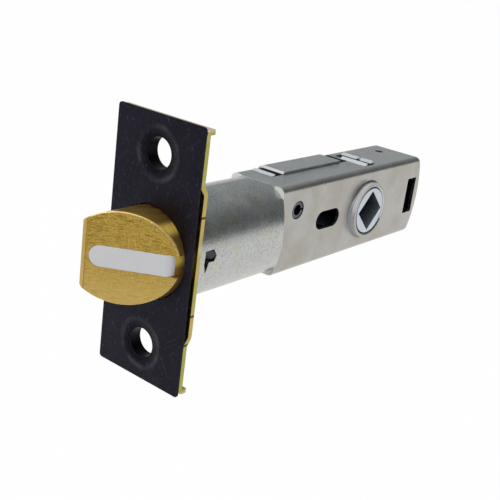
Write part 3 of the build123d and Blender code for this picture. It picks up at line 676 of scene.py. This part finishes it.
class LatchColours(PropertyGroup):
    """Colours of the finishes."""

    bronze_dark: FloatVectorProperty(
        name="Bronze, dark", description="Darker tone of the blackened faceplate",
        subtype="COLOR", size=4, default=linear("#18171f"))
    bronze_light: FloatVectorProperty(
        name="Bronze, light", description="Lighter tone of the blackened faceplate",
        subtype="COLOR", size=4, default=linear("#26242f"))
    # Pits and scuffs, and also the painted highlight on the dimple rims
    bronze_wear_and_highlight: FloatVectorProperty(
        name="Bronze, worn", description="Pits, scuffs and rubbed dimple rims in the blackened coat",
        subtype="COLOR", size=4, default=linear("#54535d"))
    # Painted shade in the screw dimples and their holes
    bronze_painted_shade: FloatVectorProperty(
        name="Bronze, hollow", description="Blackest coat, in the screw dimples",
        subtype="COLOR", size=4, default=linear("#08070b"))
    passivate_straw: FloatVectorProperty(
        name="Passivate, straw", description="Main tone of the yellow back plate",
        subtype="COLOR", size=4, default=linear("#c6aa66"))
    passivate_green: FloatVectorProperty(
        name="Passivate, green", description="Greenish drift on the back plate, fullest towards its ends",
        subtype="COLOR", size=4, default=linear("#a0a552"))
    passivate_rose: FloatVectorProperty(
        name="Passivate, rose", description="Rosy tone in spots and at one end of the back plate's lips",
        subtype="COLOR", size=4, default=linear("#dcc0a6"))
    passivate_pale: FloatVectorProperty(
        name="Passivate, pale", description="Pale green at the other end of the lips",
        subtype="COLOR", size=4, default=linear("#ccd19c"))
    shear_mark: FloatVectorProperty(
        name="Shear mark", description="Dark marks across the back plate's edges",
        subtype="COLOR", size=4, default=linear("#4e4636"))
    zinc_dark: FloatVectorProperty(
        name="Zinc, dark", description="Darker tone of the barrel and case",
        subtype="COLOR", size=4, default=linear("#aaacab"))
    zinc_light: FloatVectorProperty(
        name="Zinc, light", description="Lighter tone of the barrel and case",
        subtype="COLOR", size=4, default=linear("#c9cac7"))
    zinc_warm: FloatVectorProperty(
        name="Zinc, warm", description="Warm cloud on the sides of the case",
        subtype="COLOR", size=4, default=linear("#a59f95"))
    zinc_straw: FloatVectorProperty(
        name="Zinc, straw", description="Straw tint on the barrel",
        subtype="COLOR", size=4, default=linear("#bfb99e"))
    # Also the painted highlight on the collars' flanks and on the raised lips
    zinc_sparkle_and_highlight: FloatVectorProperty(
        name="Zinc, sparkle", description="Bright grain on the barrel, collars and raised lips",
        subtype="COLOR", size=4, default=linear("#d2d5d8"))
    # Also the painted shade at the collar roots
    zinc_grain_and_shade: FloatVectorProperty(
        name="Zinc, hollow", description="Dark grain and seam on the barrel, collar roots and flap end",
        subtype="COLOR", size=4, default=linear("#84888d"))
    # Painted shade inside the barrel and case
    zinc_painted_shade_inside: FloatVectorProperty(
        name="Zinc, inside", description="Dull tone inside the barrel and case",
        subtype="COLOR", size=4, default=linear("#48494c"))
    # Painted highlight on the corner facets and high on the collars
    zinc_painted_highlight: FloatVectorProperty(
        name="Zinc, burnished", description="White of the corner facets and high on the collars",
        subtype="COLOR", size=4, default=linear("#f4f6f6"))
    brass_dark: FloatVectorProperty(
        name="Brass, dark", description="Darker speckle of the bolt, and the line where its bevel starts",
        subtype="COLOR", size=4, default=linear("#9d8038"))
    brass_light: FloatVectorProperty(
        name="Brass, light", description="Lighter speckle of the bolt",
        subtype="COLOR", size=4, default=linear("#bd9f50"))
    brass_pale: FloatVectorProperty(
        name="Brass, pale", description="Paler gold low on the bevel and on the nose",
        subtype="COLOR", size=4, default=linear("#c7ab66"))
    brass_line: FloatVectorProperty(
        name="Brass, line", description="Dark belt lines on the bolt",
        subtype="COLOR", size=4, default=linear("#6a5420"))
    # Its warmth is a painted reflection of light passed between bolt and plate
    brass_turned_and_reflection: FloatVectorProperty(
        name="Brass, turned", description="Warm tone of the bolt's turned body",
        subtype="COLOR", size=4, default=linear("#b58f48"))
    # Painted highlight along the bevel's edge
    brass_edge_highlight: FloatVectorProperty(
        name="Brass, worn", description="Bright worn edge of the bevel",
        subtype="COLOR", size=4, default=linear("#f4de94"))
    # Painted highlight of the bolt's streak and high in its keyway
    brass_painted_highlight: FloatVectorProperty(
        name="Brass, rubbed", description="Bright gold of the bolt's streak and high in its keyway",
        subtype="COLOR", size=4, default=linear("#ffdf66"))
    nylon: FloatVectorProperty(
        name="Nylon", description="White of the wear insert",
        subtype="COLOR", size=4, default=linear("#e2e2e6"))
    nylon_haze: FloatVectorProperty(
        name="Nylon, haze", description="Haze in the wear insert",
        subtype="COLOR", size=4, default=linear("#dadade"))
    oiled_dark: FloatVectorProperty(
        name="Oiled, dark", description="Darker tone of the oiled works",
        subtype="COLOR", size=4, default=linear("#333438"))
    oiled_light: FloatVectorProperty(
        name="Oiled, light", description="Lighter tone of the oiled works, and darker tone of the rolled pin",
        subtype="COLOR", size=4, default=linear("#505156"))
    wire_dark: FloatVectorProperty(
        name="Wire, dark", description="Darker tone of the drawn wire, and lighter tone of the rolled pin",
        subtype="COLOR", size=4, default=linear("#6f7074"))
    wire_light: FloatVectorProperty(
        name="Wire, light", description="Lighter tone of the drawn wire",
        subtype="COLOR", size=4, default=linear("#9a9b9d"))
    hub: FloatVectorProperty(
        name="Hub", description="Grey of the cast hub",
        subtype="COLOR", size=4, default=linear("#c2cad2"))
    hub_light: FloatVectorProperty(
        name="Hub, light", description="Lighter grey of the cast hub",
        subtype="COLOR", size=4, default=linear("#d4dae2"))
    # Grease and painted shade in the bore and arms, and painted shade at the rim of the ends
    hub_grease_and_shade: FloatVectorProperty(
        name="Hub, greased", description="Dark tone of the hub's bore and arms, and of the rim of its ends",
        subtype="COLOR", size=4, default=linear("#3c4357"))


class LatchSizes(PropertyGroup):
    """Sizes of the pieces that are made here."""

    insert_edge: FloatProperty(
        name="Insert edge", description="Radius of the wear insert's moulded edge",
        unit="LENGTH", default=0.12 * MM)
    insert_crown: FloatProperty(
        name="Insert crown", description="Rise of the wear insert's face at its middle",
        unit="LENGTH", default=0.07 * MM)
    insert_corner: FloatProperty(
        name="Insert corner", description="Radius of the wear insert's two corners by the faceplate",
        unit="LENGTH", default=0.2 * MM)
    insert_roll: FloatProperty(
        name="Insert roll", description="Radius over which the wear insert's face rolls into its end",
        unit="LENGTH", default=0.9 * MM)
    spring_wire: FloatProperty(
        name="Spring wire", description="Diameter of the bolt spring's wire",
        unit="LENGTH", default=1.2 * MM)
    spring_turns: IntProperty(
        name="Spring turns", description="Turns of the bolt spring, closed ends included", default=9, min=4)


class LatchStudio(PropertyGroup):
    """Light and floor round the latch."""

    floor_drop: FloatProperty(
        name="Floor drop", description="How far the floor lies below the faceplate",
        unit="LENGTH", default=60 * MM)
    floor_glow: FloatProperty(
        name="Floor glow", description="Share of the floor's white that doesn't take shadow",
        subtype="FACTOR", min=0.0, max=1.0, default=0.98)
    key_power: FloatProperty(
        name="Key light", description="Power of the large soft light above and to the left",
        unit="POWER", default=4.0)
    sky_light: FloatProperty(
        name="Sky light", description="Strength of the even light from all round",
        subtype="FACTOR", min=0.0, max=1.0, default=0.5)
    wall_left: FloatProperty(
        name="Wall, left", description="Grey of the left end of the wall that the metal reflects",
        subtype="FACTOR", min=0.0, max=1.0, default=0.5)
    wall_right: FloatProperty(
        name="Wall, right", description="Grey of the right end of the wall that the metal reflects",
        subtype="FACTOR", min=0.0, max=1.0, default=0.06)
    wall_lift: FloatProperty(
        name="Wall lift", description="Height of the wall's lower edge over the bolt's axis",
        unit="LENGTH", default=170 * MM)


class LATCH_OT_plates(Operator):
    """Finishes the faceplate and the back plate"""

    bl_idname = "latch.plates"
    bl_label = "Plates"

    def execute(self, context):
        colours = context.scene.latch_colours
        finish_node("faceplate", black_bronze(colours))
        finish_node("back_plate", yellow_zinc(colours))
        return {"FINISHED"}


class LATCH_OT_case(Operator):
    """Finishes the barrel and case"""

    bl_idname = "latch.case"
    bl_label = "Barrel and case"

    def execute(self, context):
        finish_node("barrel_case", zinc_sheet(context.scene.latch_colours))
        return {"FINISHED"}


class LATCH_OT_bolt(Operator):
    """Finishes the bolt and makes its wear insert"""

    bl_idname = "latch.bolt"
    bl_label = "Bolt and insert"

    def execute(self, context):
        colours, sizes = context.scene.latch_colours, context.scene.latch_sizes
        finish_node("latch_bolt", satin_brass(colours))
        skin = insert_skin(sizes.insert_edge, sizes.insert_crown, sizes.insert_corner, sizes.insert_roll)
        mesh_piece("wear_insert", skin, "bolt", "bolt_insert", white_nylon(colours))
        return {"FINISHED"}


class LATCH_OT_works(Operator):
    """Finishes the hub and the pieces inside the case, and makes the bolt spring"""

    bl_idname = "latch.works"
    bl_label = "Hub and works"

    def execute(self, context):
        colours, sizes = context.scene.latch_colours, context.scene.latch_sizes
        oiled = cloudy_steel(
            "steel_pressed_oiled", colours.oiled_dark, colours.oiled_light, roughness=0.45)
        for name in ("bar_pin", "draw_bar", "retractor", "spring_seat"):
            finish_node(name, oiled)
        rolled = cloudy_steel("steel_rolled", colours.oiled_light, colours.wire_dark, roughness=0.35)
        finish_node("spring_pin", rolled)
        drawn = cloudy_steel("steel_drawn", colours.wire_dark, colours.wire_light, roughness=0.32)
        skin = spring_skin(sizes.spring_wire, sizes.spring_turns)
        spring = mesh_piece("coil_spring", skin, "case", "bolt_spring", drawn)
        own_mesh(spring)
        finish_node("hub", cast_zinc(colours))
        return {"FINISHED"}


class LATCH_OT_stage(Operator):
    """Makes the world, the floor, the wall, the lights and the camera"""

    bl_idname = "latch.stage"
    bl_label = "Stage"

    def execute(self, context):
        scene = context.scene
        studio = scene.latch_studio
        scene.view_settings.view_transform = "Standard"
        self.world(scene, studio)
        self.floor(scene, studio)
        self.wall(scene, studio)
        self.lights(scene, studio)
        self.camera(scene)
        return {"FINISHED"}

    def world(self, scene, studio):
        """White to the camera and in reflections, softer as light."""
        world = bpy.data.worlds.new("studio")
        world.use_nodes = True
        tree = world.node_tree
        tree.nodes.clear()
        strength = add_node(tree, "MapRange", {
            "Value": seen_rays(tree), "To Min": studio.sky_light, "To Max": 1.0})
        sky = add_node(tree, "Background", {"Color": linear(WHITE), "Strength": strength})
        add_node(tree, "OutputWorld", {"Surface": sky})
        scene.world = world

    def floor(self, scene, studio):
        """A wide pale floor, near white to the camera and in reflections, with a faint shadow."""
        half = FLOOR_HALF
        height = CAD_BOX[0].z - studio.floor_drop
        corners = [(-half, -half, height), (half, -half, height), (half, half, height), (-half, half, height)]
        mesh = bpy.data.meshes.new("floor")
        mesh.from_pydata(corners, [], [(0, 1, 2, 3)])
        material, tree, _ = start_material("paper_matte")
        paper = add_node(tree, "BsdfPrincipled", {
            "Base Color": linear(PAPER), "Roughness": 1.0, "Specular IOR Level": 0.0})
        share = add_node(tree, "Math", {0: seen_rays(tree), 1: studio.floor_glow}, operation="MULTIPLY")
        glow = add_node(tree, "Emission", {"Color": linear(WHITE), "Strength": 1.0})
        mixed = add_node(tree, "MixShader", {0: share, 1: paper, 2: glow})
        add_node(tree, "OutputMaterial", {"Surface": mixed})
        mesh.materials.append(material)
        floor = bpy.data.objects.new("floor", mesh)
        scene.collection.objects.link(floor)

    def wall(self, scene, studio):
        """A grey wall round the back, out of the camera's sight, for the metal to reflect."""
        angle = np.linspace(*WALL_ARC, WALL_STEPS)
        rim = WALL_RADIUS * np.stack([np.cos(angle), np.sin(angle)], axis=-1)
        bottom = np.column_stack([rim, np.full(WALL_STEPS, studio.wall_lift)])
        top = np.column_stack([rim, np.full(WALL_STEPS, WALL_TOP)])
        index = np.arange(WALL_STEPS - 1)
        quads = np.stack([index, index + 1, index + 1 + WALL_STEPS, index + WALL_STEPS], axis=-1)
        mesh = bpy.data.meshes.new("wall")
        mesh.from_pydata(np.vstack([bottom, top]).tolist(), [], quads.tolist())
        material, tree, place = start_material("card_grey")
        axes = add_node(tree, "SeparateXYZ", {"Vector": place}).outputs
        tone = add_node(tree, "MapRange", {
            "Value": axes["X"], "From Min": -WALL_RADIUS, "From Max": WALL_RADIUS,
            "To Min": studio.wall_left, "To Max": studio.wall_right})
        glow = add_node(tree, "Emission", {"Color": linear(CARD), "Strength": tone})
        add_node(tree, "OutputMaterial", {"Surface": glow})
        mesh.materials.append(material)
        wall = bpy.data.objects.new("wall", mesh)
        wall.visible_camera = False
        wall.visible_diffuse = False
        wall.visible_shadow = False
        scene.collection.objects.link(wall)

    def lights(self, scene, studio):
        """A wide soft light above and to the left, and a weaker one in front on the right."""
        for name, place, size, power in (
            ("key", KEY_PLACE, KEY_SIZE, studio.key_power),
            ("fill", FILL_PLACE, FILL_SIZE, studio.key_power * FILL_SHARE),
        ):
            light = bpy.data.lights.new(name, "AREA")
            light.size = size
            light.energy = power
            lamp = bpy.data.objects.new(name, light)
            lamp.location = place
            lamp.rotation_mode = "QUATERNION"
            lamp.rotation_quaternion = (LAMP_AIM - place).to_track_quat("-Z", "Y")
            scene.collection.objects.link(lamp)

    def camera(self, scene):
        """The photograph's camera: aim from azimuth and elevation, then rolled about that aim."""
        data = bpy.data.cameras.new("camera")
        data.sensor_width = SENSOR_WIDTH
        data.lens = FOCAL_LENGTH / IMAGE_WIDTH * SENSOR_WIDTH
        data.shift_x = 0.5 - IMAGE_CENTRE[0] / IMAGE_WIDTH
        data.shift_y = IMAGE_CENTRE[1] / IMAGE_WIDTH - 0.5
        data.clip_start = CLIP_NEAR
        data.clip_end = CLIP_FAR
        level = cos(CAMERA_ELEVATION)
        forward = Vector((
            -sin(CAMERA_AZIMUTH) * level, cos(CAMERA_AZIMUTH) * level, -sin(CAMERA_ELEVATION)))
        flat_right = Vector((cos(CAMERA_AZIMUTH), sin(CAMERA_AZIMUTH), 0.0))
        flat_up = flat_right.cross(forward)
        right = flat_right * cos(CAMERA_ROLL) + flat_up * sin(CAMERA_ROLL)
        up = flat_up * cos(CAMERA_ROLL) - flat_right * sin(CAMERA_ROLL)
        camera = bpy.data.objects.new("camera", data)
        turn = Matrix((right, up, -forward)).transposed()
        camera.matrix_world = Matrix.Translation(EYE) @ turn.to_4x4()
        scene.collection.objects.link(camera)
        scene.camera = camera


class LATCH_PT_panel(Panel):
    """Lists what makes the latch, and its sizes, colours and studio"""

    bl_idname = "LATCH_PT_panel"
    bl_label = "Lever Passage Latch"
    bl_space_type = "VIEW_3D"
    bl_region_type = "UI"
    bl_category = "Latch"

    def draw(self, context):
        for operator in OPERATORS:
            self.layout.operator(operator.bl_idname)
        for group in (context.scene.latch_sizes, context.scene.latch_colours, context.scene.latch_studio):
            for name in group.__annotations__:
                self.layout.prop(group, name)


OPERATORS = (LATCH_OT_plates, LATCH_OT_case, LATCH_OT_bolt, LATCH_OT_works, LATCH_OT_stage)
GROUPS = {"latch_sizes": LatchSizes, "latch_colours": LatchColours, "latch_studio": LatchStudio}


def register():
    for group in GROUPS.values():
        bpy.utils.register_class(group)
    for name, group in GROUPS.items():
        setattr(bpy.types.Scene, name, PointerProperty(type=group))
    for operator in OPERATORS:
        bpy.utils.register_class(operator)
    bpy.utils.register_class(LATCH_PT_panel)


def unregister():
    bpy.utils.unregister_class(LATCH_PT_panel)
    for operator in reversed(OPERATORS):
        bpy.utils.unregister_class(operator)
    for name in GROUPS:
        delattr(bpy.types.Scene, name)
    for group in reversed(GROUPS.values()):
        bpy.utils.unregister_class(group)


def main():
    register()
    bpy.ops.latch.plates()
    bpy.ops.latch.case()
    bpy.ops.latch.bolt()
    bpy.ops.latch.works()
    bpy.ops.latch.stage()


if __name__ == "__main__":
    main()
